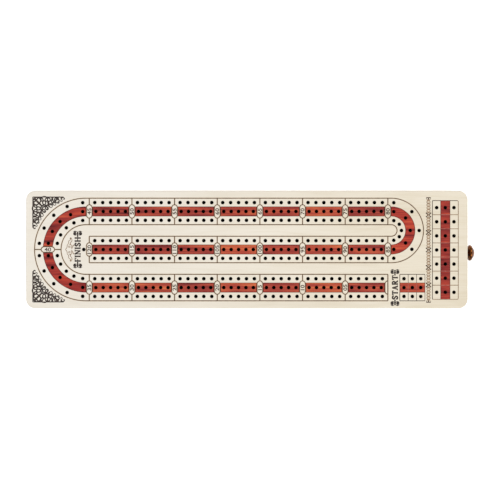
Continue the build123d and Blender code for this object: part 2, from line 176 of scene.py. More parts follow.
def case_outline(inset):
    """The case's plan with its rounded corners, shrunk by an inset, anticlockwise."""
    radius = CORNER_RADIUS - inset
    x, y = HALF_LENGTH - inset - radius, HALF_WIDTH - inset - radius
    corners = ((x, y, 0), (-x, y, 90), (-x, -y, 180), (x, -y, 270))
    return [p for cx, cy, start in corners for p in arc(cx, cy, radius, start, start + 90, 6)]


class Plan:
    """Loops with a kind each. Loops with the same group are filled by the even-odd rule, as glyphs are."""

    def __init__(self):
        self.points, self.loops, self.kinds, self.groups = [], [], [], []

    def add(self, kind, loop, group=None):
        """Adds a loop that doesn't cross itself, anticlockwise, unless it has no area."""
        loop = [Vector(p) for p in loop]
        loop = [p for p, before in zip(loop, loop[-1:] + loop) if (p - before).length > SAME_POINT]
        area = sum(a.cross(b) for a, b in zip(loop, loop[1:] + loop[:1])) / 2
        if abs(area) < SAME_POINT:
            return
        first = len(self.points)
        self.points += loop if area > 0 else loop[::-1]
        self.loops.append(list(range(first, first + len(loop))))
        self.kinds.append(kind)
        self.groups.append(group)

    def scorched_line(self, path, width, closed=False):
        """A dark line with a tan scorch along both its edges."""
        self.stroke("tan", path, width + 2 * SCORCH_WIDTH, closed)
        self.stroke("line", path, width, closed)

    def stroke(self, kind, path, width, closed=False):
        """A line of the given width along a path; width may be one number or a function of 0 to 1."""
        points = [Vector(p) for p in path]
        last = len(points) - 1
        sides = []
        for i, point in enumerate(points):
            before = points[i - 1] if i or closed else point
            after = points[(i + 1) % len(points)] if i < last or closed else point
            inward, outward = (point - before).normalized(), (after - point).normalized()
            way = (inward + outward).normalized()
            across = Vector((-way.y, way.x))
            lean = max(0.5, abs((inward if inward.length else outward).dot(way)))
            half = (width(i / last) if callable(width) else width) / 2 / lean
            sides.append((point + across * half, point - across * half))
        for a, b in zip(sides, sides[1:] + (sides[:1] if closed else [])):
            corners = [*a, *b]
            self.add(kind, [corners[i] for i in convex_hull_2d(corners)])

    def triangles(self, order):
        """Triangles inside loops of order's first kind, each with the last kind in order that covers it."""
        points, _, faces, sources, _, inside = delaunay_2d_cdt(self.points, [], self.loops, 1, 1e-5)
        place = {source: i for i, group in enumerate(sources) for source in group}
        cut = []
        for face, loops in zip(faces, inside):
            odd, kinds = {}, set()
            for loop in loops:
                group = self.groups[loop]
                if group is None:
                    kinds.add(self.kinds[loop])
                else:
                    odd[group] = not odd.get(group, False), self.kinds[loop]
            kinds |= {kind for filled, kind in odd.values() if filled}
            if order[0] in kinds:
                cut.append((face, max(kinds, key=order.index)))
        return points, place, cut


class Builder:
    """Collects a mesh in millimetres; a face has the main material unless it is given another."""

    def __init__(self, main):
        self.vertices, self.faces, self.slots, self.index = [], [], [], {}
        self.materials = [main]

    def vertex(self, key, x, y, z):
        """A vertex that faces share by its key."""
        if key not in self.index:
            self.index[key] = len(self.vertices)
            self.vertices.append((x * MM, y * MM, z * MM))
        return self.index[key]

    def face(self, corners, material=None):
        material = material or self.materials[0]
        if material not in self.materials:
            self.materials.append(material)
        self.faces.append(corners)
        self.slots.append(self.materials.index(material))

    def ring(self, outline, z):
        first = len(self.vertices)
        self.vertices += [(x * MM, y * MM, z * MM) for x, y in outline]
        return list(range(first, len(self.vertices)))

    def band(self, upper, lower):
        """Walls between two rings that run anticlockwise, seen from above."""
        for i in range(len(upper)):
            j = (i + 1) % len(upper)
            self.face([upper[i], lower[i], lower[j], upper[j]])

    def pierced_face(self, plan, z, facing=1):
        """A flat face with holes, facing up or down (-1); returns the plan's loops as rings."""
        points, place, cut = plan.triangles(["face", "hole"])
        for triangle, kind in cut:
            if kind == "face":
                corners = [self.vertex((i, z), *points[i], z) for i in triangle]
                self.face(corners[::facing])
        return [[self.index[place[i], z] for i in loop] for loop in plan.loops]

    def mesh(self, name):
        mesh = bpy.data.meshes.new(name)
        mesh.from_pydata(self.vertices, [], self.faces)
        mesh.polygons.foreach_set("material_index", self.slots)
        for material in self.materials:
            mesh.materials.append(material)
        return mesh


def finish(mesh, body, node, attributes, smooth_angle=BOARD_ANGLE):
    """Puts a mesh on its body in a node's place, shaded; a board's large faces keep their flat shading."""
    for key, value in attributes.items():
        layer = mesh.attributes.new(key, "FLOAT", "POINT")
        layer.data.foreach_set("value", [value] * len(mesh.vertices))
    mesh.validate()
    mesh.polygons.foreach_set("use_smooth", [True] * len(mesh.polygons))
    mesh.set_sharp_from_angle(angle=radians(smooth_angle))
    mesh.update()
    piece = bpy.data.objects.new(mesh.name, mesh)
    bpy.context.scene.collection.objects.link(piece)
    if smooth_angle == BOARD_ANGLE:
        piece.modifiers.new("flat_faces", "WEIGHTED_NORMAL").keep_sharp = True
    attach(piece, body)
    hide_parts(node)


def relief(builder, plan, levels, base=None):
    """The plan as a stepped surface; returns the place of each of the plan's points in the mesh.

    levels gives each kind's height and material. A base, given the same way, closes the surface with an
    underside and with walls round the rim, and then a kind at the base's height is open right through.
    """
    points, place, cut = plan.triangles(list(levels))
    floor, floor_material = base or (None, None)
    edges, heights = {}, {}

    def corner(i, z):
        return builder.vertex((i, z), *points[i], z)

    def post(i, high, low):
        """The points above each other at a corner, so that walls that meet there share them all."""
        return [corner(i, z) for z in sorted(heights[i] | {low}, reverse=True) if low <= z <= high]

    for face, kind in cut:
        height, material = levels[kind]
        if height != floor:
            builder.face([corner(i, height) for i in face], material)
            if base:
                builder.face([corner(i, floor) for i in reversed(face)], floor_material)
        for a, b in zip(face, face[1:] + face[:1]):
            edges[a, b] = kind
            heights.setdefault(a, set()).add(height)
    for (a, b), kind in edges.items():
        high = levels[kind][0]
        other = edges.get((b, a))
        low, material = levels[other] if other else (floor, floor_material)
        if low is not None and high > low:
            builder.face(post(a, high, low) + post(b, high, low)[::-1], material)
    return place


# ---- The track's holes, as in the CAD ----


def separator_x(index):
    return FIRST_SEPARATOR_X + CELL_PITCH * index


def bend_holes(x, y, radius, first, last, side):
    """Five holes round part of a bend; the angles run from straight up, towards side."""
    steps = [first + (last - first) * i / (HOLES_PER_CELL - 1) for i in range(HOLES_PER_CELL)]
    return [(x + side * radius * sin(a), y + radius * cos(a)) for a in steps]


def all_holes():
    """Every peg hole's centre."""
    holes = [(FINISH_HOLE_X, 0.0)]
    for lane in (-1, 0, 1):
        step = OUTER_HOLE_PITCH if lane else INLAY_HOLE_PITCH
        offsets = [step * (i - (HOLES_PER_CELL - 1) / 2) for i in range(HOLES_PER_CELL)]
        for run in (-1, 0, 1):
            y = run * TRACK_PITCH + lane * LANE_PITCH
            for cell in range(CELL_COUNT):
                holes += [(separator_x(cell + 0.5) + offset, y) for offset in offsets]
        wide = TRACK_PITCH + lane * LANE_PITCH
        first = asin(LEFT_BEND_FIRST_HOLE / wide)
        last = pi / 2 - asin(LEFT_BEND_LAST_HOLE / wide)
        quarter = bend_holes(LEFT_BEND_X, 0, wide, first, last, -1)
        holes += quarter + [(x, -y) for x, y in quarter]
        tight = TRACK_PITCH / 2 + lane * LANE_PITCH
        first = asin(RIGHT_BEND_END_HOLE / tight)
        holes += bend_holes(RIGHT_BEND_X, TRACK_PITCH / 2, tight, first, pi - first, 1)
        for column in (-1, 0, 1):
            holes.append((START_X + START_PITCH * column, -TRACK_PITCH + LANE_PITCH * lane))
        for row in range(GAMES_ROWS):
            y = GAMES_Y + GAMES_ROW_PITCH * (row - (GAMES_ROWS - 1) / 2)
            holes.append((GAMES_X + GAMES_COLUMN_PITCH * lane, y))
    return holes


# ---- The inlays' outlines, shrunk by an inset (or grown by a negative one) ----


def left_bend_inlay(side, inset):
    """A quarter of the wide bend, on the side +1 above and -1 below, with its short straight lead."""
    half = INLAY_WIDTH / 2 - inset
    lead_x = separator_x(0) - PLAQUE_WIDTH / 2 - inset
    cut_y = PLAQUE_WIDTH / 2 + inset
    outer, inner = TRACK_PITCH + half, TRACK_PITCH - half
    loop = [(lead_x, inner), (lead_x, outer)]
    loop += arc(LEFT_BEND_X, 0, outer, 90, 180 - degrees(asin(cut_y / outer)), 3)
    loop += arc(LEFT_BEND_X, 0, inner, 180 - degrees(asin(cut_y / inner)), 90, 3)
    return loop if side > 0 else [(x, -y) for x, y in reversed(loop)]


def right_bend_inlay(inset):
    """The tight half bend between the upper and the middle run."""
    half = INLAY_WIDTH / 2 - inset
    lead_x = separator_x(CELL_COUNT) + PLAQUE_WIDTH / 2 + inset
    middle = TRACK_PITCH / 2
    loop = [(lead_x, -half)] + arc(RIGHT_BEND_X, middle, middle + half, -90, 90)
    loop += [(lead_x, TRACK_PITCH + half), (lead_x, TRACK_PITCH - half)]
    return loop + arc(RIGHT_BEND_X, middle, middle - half, 90, -90) + [(lead_x, half)]


# How orange each straight strip is, from 0 to 1, from the left end: front, middle and rear run.
STRIP_TONES = {
    -1: (0.7, 0.8, 0.5, 0.95, 0.5, 0.9, 0.45),
    0: (0.4, 0.3, 0.45, 0.85, 0.5, 0.85, 0.55),
    1: (0.3, 0.65, 0.4, 0.6, 0.45, 0.7, 0.3),
}


def inlays():
    """Each inlay's CAD name, outline (a function of an inset), tone and share of crimson."""
    per_run = CELL_COUNT * HOLES_PER_CELL
    after_left = per_run + 2 * HOLES_PER_CELL
    after_right = after_left + per_run + HOLES_PER_CELL

    def scores(before):
        return f"inlay_{before + 1:03d}_{before + HOLES_PER_CELL:03d}"

    half = INLAY_WIDTH / 2
    strips = []
    for cell in range(CELL_COUNT):
        x0, x1 = separator_x(cell) + PLAQUE_WIDTH / 2, separator_x(cell + 1) - PLAQUE_WIDTH / 2
        backwards = (CELL_COUNT - 1 - cell) * HOLES_PER_CELL
        forwards = cell * HOLES_PER_CELL
        for before, run in ((backwards, -1), (after_left + forwards, 1), (after_right + backwards, 0)):
            y = run * TRACK_PITCH
            outline = partial(rectangle, x0, x1, y - half, y + half)
            strips.append((scores(before), outline, STRIP_TONES[run][cell], 0.0))
    y = -TRACK_PITCH
    start = partial(rectangle, START_X - START_HALF, START_X + START_HALF, y - half, y + half)
    games = partial(rectangle, GAMES_X - half, GAMES_X + half, GAMES_Y - GAMES_HALF, GAMES_Y + GAMES_HALF)
    return strips + [
        (scores(per_run), partial(left_bend_inlay, -1), 0.38, 0.75),
        (scores(per_run + HOLES_PER_CELL), partial(left_bend_inlay, 1), 0.38, 0.6),
        (scores(after_right - HOLES_PER_CELL), right_bend_inlay, 0.6, 0.75),
        ("inlay_start", start, 0.76, 0.2),
        ("inlay_games", games, 0.32, 0.55),
    ]


# ---- Burnt lines on the top ----


def glyph_loops(text, height):
    """The outlines of a short text in a plain face, centred, as loops of points."""
    curve = bpy.data.curves.new("glyphs", "FONT")
    curve.body = text
    curve.resolution_u = 3
    curve.fill_mode = "NONE"
    probe = bpy.data.objects.new("glyphs", curve)
    mesh = bpy.data.meshes.new_from_object(probe)
    follow = {}
    for edge in mesh.edges:
        a, b = edge.vertices
        follow.setdefault(a, []).append(b)
        follow.setdefault(b, []).append(a)
    loops, seen = [], set()
    for here in follow:
        loop = []
        while here is not None and here not in seen:
            seen.add(here)
            loop.append(mesh.vertices[here].co.xy.copy())
            here = next((n for n in follow[here] if n not in seen), None)
        if loop:
            loops.append(loop)
    for data, owner in ((probe, bpy.data.objects), (mesh, bpy.data.meshes), (curve, bpy.data.curves)):
        owner.remove(data)
    xs, ys = zip(*[p for loop in loops for p in loop])
    scale = height / (max(ys) - min(ys))
    middle = Vector((max(xs) + min(xs), max(ys) + min(ys))) / 2
    return [[(p - middle) * scale for p in loop] for loop in loops]


def write_number(plan, number, x, y, turn):
    """Engraves a number of two or three figures centred at x, y, turned anticlockwise by turn degrees."""
    group = len(plan.loops)
    spin = Matrix.Rotation(radians(turn), 2)
    for loop in glyph_loops(f"{number:02d}", DIGIT_HEIGHT):
        placed = [spin @ Vector((p.x * DIGIT_STRETCH, p.y)) + Vector((x, y)) for p in loop]
        plan.add("line", placed, group)
        plan.stroke("line", placed, DIGIT_BOLD, closed=True)


def plaque(plan, x, y, number, upright=False):
    """A number in a frame with round ends, along Y or, if upright, along X; 0 gives an empty left half."""
    reach, rise = PLAQUE_WIDTH / 2 - PLAQUE_LINE / 2, PLAQUE_TIP - PLAQUE_LINE / 2 - PLAQUE_SIDE
    dome = [(reach * a, PLAQUE_SIDE + rise * b) for a, b in arc(0, 0, 1, 0, 180, step=22.5)]
    path = dome + [(a, -b) for a, b in reversed(dome)]
    if not number:
        path = sorted([(a, b) for a, b in path if a < SAME_POINT], key=lambda point: point[1])
    if upright:
        path = [(b, a) for a, b in path]
    plan.scorched_line([(x + a, y + b) for a, b in path], PLAQUE_LINE, closed=bool(number))
    if number:
        write_number(plan, number, x, y, 0 if upright else 90)


def track_lines(plan):
    """The track's outlines, the lines between its cells, and the number plaques."""
    end_x, middle = separator_x(CELL_COUNT), TRACK_PITCH / 2
    for reach, step in ((TRACK_PITCH + LANE_EDGE, 3), (TRACK_PITCH - LANE_EDGE, 4)):
        bend = arc(LEFT_BEND_X, 0, reach, 90, 270, step)
        plan.scorched_line([(RIGHT_BEND_X, reach)] + bend + [(end_x, -reach)], OUTLINE_WIDTH)
    for edge, step in ((LANE_EDGE, 3), (-LANE_EDGE, 12)):
        bend = arc(RIGHT_BEND_X, middle, middle + edge, -90, 90, step)
        plan.scorched_line([(separator_x(0), -edge)] + bend, OUTLINE_WIDTH)
    for run in (-1, 0, 1):
        y = run * TRACK_PITCH
        for index in range(CELL_COUNT + 1):
            x = separator_x(index)
            for side in (-1, 1):
                ends = [(x, y + side * (PLAQUE_TIP - PLAQUE_LINE)), (x, y + side * LANE_EDGE)]
                plan.scorched_line(ends, SEPARATOR_WIDTH)
            # The scores run left in front, right at the rear and left again in the middle.
            cells = {-1: CELL_COUNT - index, 0: 3 * CELL_COUNT + 3 - index, 1: CELL_COUNT + 2 + index}[run]
            plaque(plan, x, y, HOLES_PER_CELL * cells)
            if not cells:
                plan.scorched_line([(x, y - LANE_EDGE), (x, y + LANE_EDGE)], SEPARATOR_WIDTH)
    side_x = LEFT_BEND_X - TRACK_PITCH
    plaque(plan, side_x, 0, HOLES_PER_CELL * (CELL_COUNT + 1), upright=True)
    for side in (-1, 1):
        near, far = side_x + side * (PLAQUE_TIP - PLAQUE_LINE), side_x + side * LANE_EDGE
        plan.scorched_line([(near, 0), (far, 0)], SEPARATOR_WIDTH)


def box_lines(plan):
    """The start box and the games-won box, ruled into cells, with lighter rules in the games-won box."""
    low, high = -TRACK_PITCH - LANE_EDGE, -TRACK_PITCH + LANE_EDGE
    for step, width in ((-1.5, OUTLINE_WIDTH), (-0.5, THIN_RULE), (0.5, THIN_RULE), (1.5, THIN_RULE)):
        x = START_X + step * START_PITCH
        plan.stroke("line", [(x, low), (x, high)], width)
    for y in (low, high):
        plan.stroke("line", [(START_X - START_HALF, y), (START_X + START_HALF, y)], RULE_WIDTH)
    x0, x1 = GAMES_X - GAMES_HALF_WIDTH, GAMES_X + GAMES_HALF_WIDTH
    y0, y1 = GAMES_Y - GAMES_HALF, GAMES_Y + GAMES_HALF
    radius = GAMES_CORNER
    for path in ([(x1 - radius, y1), (x0, y1)], [(x0, y1), (x0, y0)]):
        plan.stroke("line", path, RULE_WIDTH)
    light = [[(x0, y0), (x1 - radius, y0)]]
    light += [arc(x1 - radius, y - side * radius, radius, 0, side * 90) for side, y in ((1, y1), (-1, y0))]
    light.append([(x1, y0 + radius), (x1, y1 - radius)])
    rows = [y0 + GAMES_ROW_PITCH * row for row in range(1, GAMES_ROWS)]
    for path in light + [[(x0, y), (x1, y)] for y in rows]:
        plan.stroke("fine", path, RULE_WIDTH)


# ---- Burnt ornaments: plain scrollwork and slab letters ----


def smooth(points, count=6):
    """A Catmull-Rom curve through points."""
    ends = [points[0], *points, points[-1]]
    path = []
    for near in zip(ends, ends[1:], ends[2:], ends[3:]):
        for i in range(count):
            t = i / count
            blend = (-t + 2 * t**2 - t**3, 2 - 5 * t**2 + 3 * t**3, t + 4 * t**2 - 3 * t**3, t**3 - t**2)
            path.append(tuple(0.5 * sum(w * p for w, p in zip(blend, place)) for place in zip(*near)))
    return path + [tuple(points[-1])]


# Points per turn of looped lines and of scrolls, and the share of its radius that a scroll winds in by.
LOOP_POINTS, SCROLL_POINTS = 14, 13
SCROLL_WIND = 0.78


class Ornament:
    """Draws on a plan through a mapping from the ornament's own plane, which may turn or mirror it."""

    def __init__(self, plan, kind, mapping):
        self.plan, self.kind, self.mapping = plan, kind, mapping

    def line(self, points, width):
        self.plan.stroke(self.kind, [self.mapping(*p) for p in points], width)

    def dot(self, u, v, radius):
        self.plan.add(self.kind, [self.mapping(*p) for p in circle(u, v, radius, 10)])

    def loops(self, row, width):
        """A pen line that loops outwards from a corner; CORNER_ROWS says what a row holds."""
        (u0, u1), (v0, v1), (r0, r1), turns, hand = row
        count = ceil(turns * LOOP_POINTS)
        path = []
        for i in range(count + 1):
            share = i / count
            angle = radians(CORNER_START) + 2 * pi * turns * share * hand
            radius = (r0 + (r1 - r0) * share) * (1 - CORNER_SWAY * sin(CORNER_SWAY_RATE * angle))
            u, v = u0 + (u1 - u0) * share**CORNER_SPREAD, v0 + (v1 - v0) * share
            path.append((u + radius * cos(angle), v + radius * sin(angle)))
        self.line(path, lambda t: width * (1.1 - 0.2 * t))

    def curl(self, u, v, radius, width):
        """An open ring with a bud at its end."""
        bud = radians(20)
        self.line(arc(u, v, radius, -120, 160, 28), width)
        self.dot(u - radius * cos(bud), v + radius * sin(bud), width * 0.8)

    def scroll(self, u, v, radius, start, turns, width):
        """A spiral that winds inwards from its rim to a bud; negative turns run clockwise."""
        count = max(8, ceil(abs(turns) * SCROLL_POINTS))
        path = []
        for i in range(count + 1):
            share = i / count
            reach = (radius - width / 2) * (1 - SCROLL_WIND * share)
            angle = radians(start + 360 * turns * share)
            path.append((u + reach * cos(angle), v + reach * sin(angle)))
        self.line(path, lambda t: width * (0.7 + 0.5 * sin(pi * t)))
        self.dot(*path[-1], width * 0.7)

    def leaf(self, u, v, length, turn, width):
        """A curved, pointed leaf from u, v."""
        a = radians(turn)
        ahead, aside = Vector((cos(a), sin(a))), Vector((-sin(a), cos(a)))
        shares = [i / 6 for i in range(7)]
        back = [ahead * length * t + aside * width * 1.3 * sin(pi * t) for t in shares]
        belly = [ahead * length * t + aside * width * 0.3 * sin(pi * t) for t in shares[1:-1]]
        loop = [Vector((u, v)) + p for p in back + belly[::-1]]
        self.plan.add(self.kind, [self.mapping(*p) for p in loop])


# A corner ornament's own plane: u along one side of the board and v along the other, both from the corner.
CORNER_INSET = (6.0, 5.5)
CORNER_STROKE = 1.0
CORNER_BORDER = [(0.1, 0.1), (26.5, 0.1)]
CORNER_BORDER_WIDTH = 0.85
# The loops start from this angle, and stand closer together towards the point.
CORNER_START = 225
CORNER_SPREAD = 0.85
# Their radius sways by this share, this many times as fast as they turn.
CORNER_SWAY = 0.34
CORNER_SWAY_RATE = 0.62
# Rows of loops, from the diagonal to the point: ends along u and along v, radii, number of loops, and hand.
CORNER_ROWS = (
    ((2.4, 27.2), (2.4, 1.1), (2.2, 0.7), 8.75, 1),
    ((6.3, 22.8), (6.2, 3.2), (2.0, 1.0), 5.0, -1),
    ((9.9, 16.2), (9.7, 6.6), (1.5, 0.9), 2.5, 1),
)
# Curls along the long side and beads in the gaps: centre and radius.
CORNER_CURLS = ((12.4, 10.1, 1.2), (15.7, 8.1, 1.15), (18.9, 6.2, 1.05), (21.9, 4.7, 0.95), (24.7, 3.1, 0.8))
CORNER_CURL_WIDTH = 0.55
CORNER_BEADS = ((2.2, 2.2, 1.1), (4.6, 4.6, 0.7), (8.6, 8.5, 0.6))


def corner_ornament(plan, side):
    """Looped penwork in a left-hand corner, the same about its diagonal; side is +1 at the rear."""
    corner_x, corner_y = -HALF_LENGTH + CORNER_INSET[0], HALF_WIDTH - CORNER_INSET[1]
    along_x = Ornament(plan, "deep", lambda u, v: (corner_x + u, side * (corner_y - v)))
    along_y = Ornament(plan, "deep", lambda u, v: (corner_x + v, side * (corner_y - u)))
    for half in (along_x, along_y):
        half.line(CORNER_BORDER, CORNER_BORDER_WIDTH)
        for row in CORNER_ROWS:
            half.loops(row, CORNER_STROKE)
        for curl in CORNER_CURLS:
            half.curl(*curl, CORNER_CURL_WIDTH)
        for bead in CORNER_BEADS:
            half.dot(*bead)


# Slab letters of unit height: width, thick strokes and thin strokes. A stroke that ends at 0 or 1 in
# height gets a slab there.
F_ARMS = [[(0.2, 0.94), (0.68, 0.94), (0.68, 0.7)], [(0.2, 0.5), (0.54, 0.5)]]
R_BOWL = smooth([(0.2, 0.93), (0.5, 0.91), (0.62, 0.72), (0.5, 0.52), (0.2, 0.5)], 3)
S_UPPER = [(0.63, 0.7), (0.5, 0.92), (0.26, 0.9), (0.16, 0.7), (0.38, 0.51)]
S_LOWER = [(0.6, 0.32), (0.5, 0.09), (0.26, 0.08), (0.12, 0.3)]
LETTERS = {
    "A": (0.84, [[(0.4, 0.97), (0.68, 0)]], [[(0.4, 0.97), (0.15, 0)], [(0.22, 0.32), (0.6, 0.32)]]),
    "F": (0.76, [[(0.2, 0), (0.2, 1)]], F_ARMS),
    "H": (0.92, [[(0.2, 0), (0.2, 1)], [(0.72, 0), (0.72, 1)]], [[(0.2, 0.5), (0.72, 0.5)]]),
    "I": (0.4, [[(0.2, 0), (0.2, 1)]], []),
    "N": (0.92, [[(0.18, 0.97), (0.74, 0.03)]], [[(0.18, 0), (0.18, 1)], [(0.74, 0.03), (0.74, 1)]]),
    "R": (0.86, [[(0.2, 0), (0.2, 1)], [(0.42, 0.5), (0.68, 0)], R_BOWL], []),
    "S": (0.76, [smooth(S_UPPER + S_LOWER, 3)], [[(0.65, 0.94), (0.65, 0.7)], [(0.1, 0.06), (0.1, 0.3)]]),
    "T": (0.8, [[(0.4, 0), (0.4, 0.94)]], [[(0.08, 0.7), (0.08, 0.94), (0.72, 0.94), (0.72, 0.7)]]),
}
FINISH_LABEL_X, START_LABEL_X = -145.8, 127.6
LETTER_HEIGHT = 5.0
LETTER_GAP = 0.04
LETTER_THICK, LETTER_THIN = 1.3, 0.8
SLAB_HALF = 0.16
SLAB_INSET = 0.06
# A finial beyond a label's end, v away from it: its stem, then each side's scroll and leaves.
FINIAL_STEM = [(0, -0.2), (0, 4.6)]
FINIAL_SCROLL = (2.2, 2.9, 2.0, 215, 1.1, 1.0)
FINIAL_LEAVES = ((0.2, 4.0, 3.9, 2, 0.95), (0.3, 1.5, 2.2, 50, 0.5))


def label(plan, word, x, y):
    """A word in slab letters that reads upwards, with a scrolled finial at each end."""
    length = sum(LETTERS[letter][0] for letter in word) + LETTER_GAP * (len(word) - 1)
    pen = -length / 2
    for letter in word:
        width, thick, thin = LETTERS[letter]

        def turned(u, v, pen=pen):
            return x - (v - 0.5) * LETTER_HEIGHT, y + (pen + u) * LETTER_HEIGHT

        shape = Ornament(plan, "deep", turned)
        for stroke in thick + thin:
            shape.line(stroke, LETTER_THICK if stroke in thick else LETTER_THIN)
            for u, v in (stroke[0], stroke[-1]):
                if v in (0, 1):
                    level = SLAB_INSET + (1 - 2 * SLAB_INSET) * v
                    shape.line([(u - SLAB_HALF, level), (u + SLAB_HALF, level)], LETTER_THIN)
        pen += width + LETTER_GAP
    half = length * LETTER_HEIGHT / 2
    for end in (-1, 1):
        for side in (-1, 1):
            finial = Ornament(
                plan, "deep", lambda u, v, end=end, side=side: (x + side * u, y + end * (half + v))
            )
            finial.line(FINIAL_STEM, lambda t: 1.2 + 0.7 * sin(pi * t))
            finial.scroll(*FINIAL_SCROLL)
            for leaf in FINIAL_LEAVES:
                finial.leaf(*leaf)


BAND_X = 156.5
BAND_LOW, BAND_HIGH = -45.4, 44.6
BAND_MARGIN = 1.2
BAND_TWIST = 2.5
BAND_HALF_WIDTH = 1.65
BAND_STRAND = 0.42
BAND_HATCH, BAND_HATCH_WIDTH = 0.9, 0.25
BAND_CROSS_PITCH = 15.1
BAND_CROSS_ANGLES = (42, 138, 222, 318)
BAND_CROSS_REACH = (2.3, 2.2)
BAND_CROSS_DOT = 0.6
BAND_BEAD_V, BAND_BEAD_RADIUS = 1.7, 0.35
# Each end's bar (half its length), stem (length) and prongs (place and length), with the line width last.
BAND_BAR = (2.0, 0.8)
BAND_STEM = (1.8, 0.9)
BAND_PRONG = (1.8, 0.8, 0.5)


def band_ornament(plan):
    """A narrow band of tan plaiting with five dark crosses and a bar at each end."""
    low, high = BAND_LOW + BAND_MARGIN, BAND_HIGH - BAND_MARGIN
    count = round((high - low) / BAND_TWIST)
    step = (high - low) / count
    for i in range(count):
        y = low + step * i
        diamond = [(0, 0), (BAND_HALF_WIDTH, step / 2), (0, step), (-BAND_HALF_WIDTH, step / 2)]
        plan.add("tan", [(BAND_X + a, y + b) for a, b in diamond])
        for side in (-1, 1):
            a, b = BAND_X - side * BAND_HALF_WIDTH, BAND_X + side * BAND_HALF_WIDTH
            plan.stroke("fine", [(a, y), (b, y + step)], BAND_STRAND)
            notch = [(b, y + step * 0.15), (b - side * BAND_HATCH, y + step * 0.5), (b, y + step * 0.85)]
            plan.stroke("fine", notch, BAND_HATCH_WIDTH)
    for number in range(-2, 3):
        y = GAMES_Y + BAND_CROSS_PITCH * number
        cross = Ornament(plan, "line", lambda u, v, y=y: (BAND_X + u, y + v))
        for turn in BAND_CROSS_ANGLES:
            u, v = BAND_CROSS_REACH[0] * cos(radians(turn)), BAND_CROSS_REACH[1] * sin(radians(turn))
            cross.line([(0, 0), (u, v)], lambda t: 0.4 + 0.5 * t)
            cross.dot(u * 1.05, v * 1.05, BAND_CROSS_DOT)
        for v in (-BAND_BEAD_V, BAND_BEAD_V):
            cross.dot(0, v, BAND_BEAD_RADIUS)
    for y, end in ((BAND_LOW, -1), (BAND_HIGH, 1)):
        tip = Ornament(plan, "line", lambda u, v, y=y, end=end: (BAND_X + u, y - end * v))
        tip.line([(-BAND_BAR[0], 0), (BAND_BAR[0], 0)], BAND_BAR[1])
        tip.line([(0, 0), (0, BAND_STEM[0])], BAND_STEM[1])
        for side in (-1, 1):
            u, length, width = BAND_PRONG
            tip.line([(side * u, 0), (side * u, length)], width)


FLOURISH_X = -152.3
FLOURISH_STEM = ((-3.9, 0.0), (-2.7, 1.9), (-2.5, 3.6), (-1.3, 5.4), (-1.2, 7.2), (0.4, 8.6), (0.9, 10.4))
FLOURISH_VINE = ((1.0, 0.6), (2.4, 2.2), (1.0, 3.8), (0.2, 5.6), (1.4, 7.0), (1.5, 8.8), (0.2, 10.3))
FLOURISH_WIDTH = 0.52
# Each scroll's centre, radius, start angle, turns and line width.
FLOURISH_SCROLLS = (
    (-0.9, 2.2, 1.2, 180, -1.3, 0.34),
    (2.9, 3.6, 0.9, 200, 1.2, 0.34),
    (-0.1, 4.4, 0.8, 180, 1.2, 0.32),
    (0.3, 9.6, 0.8, 30, -1.2, 0.32),
)
FLOURISH_BUD = (1.0, 2.1, 0.6)


def flourish(plan):
    """A light scrolled bracket beside the finish label, the same about its middle."""
    for side in (-1, 1):
        half = Ornament(plan, "fine", lambda u, v, side=side: (FLOURISH_X + u, side * v))
        for path in (FLOURISH_STEM, FLOURISH_VINE):
            half.line(smooth(path, 4), FLOURISH_WIDTH)
        for scroll in FLOURISH_SCROLLS:
            half.scroll(*scroll)
        half.dot(*FLOURISH_BUD)


# ---- Materials ----


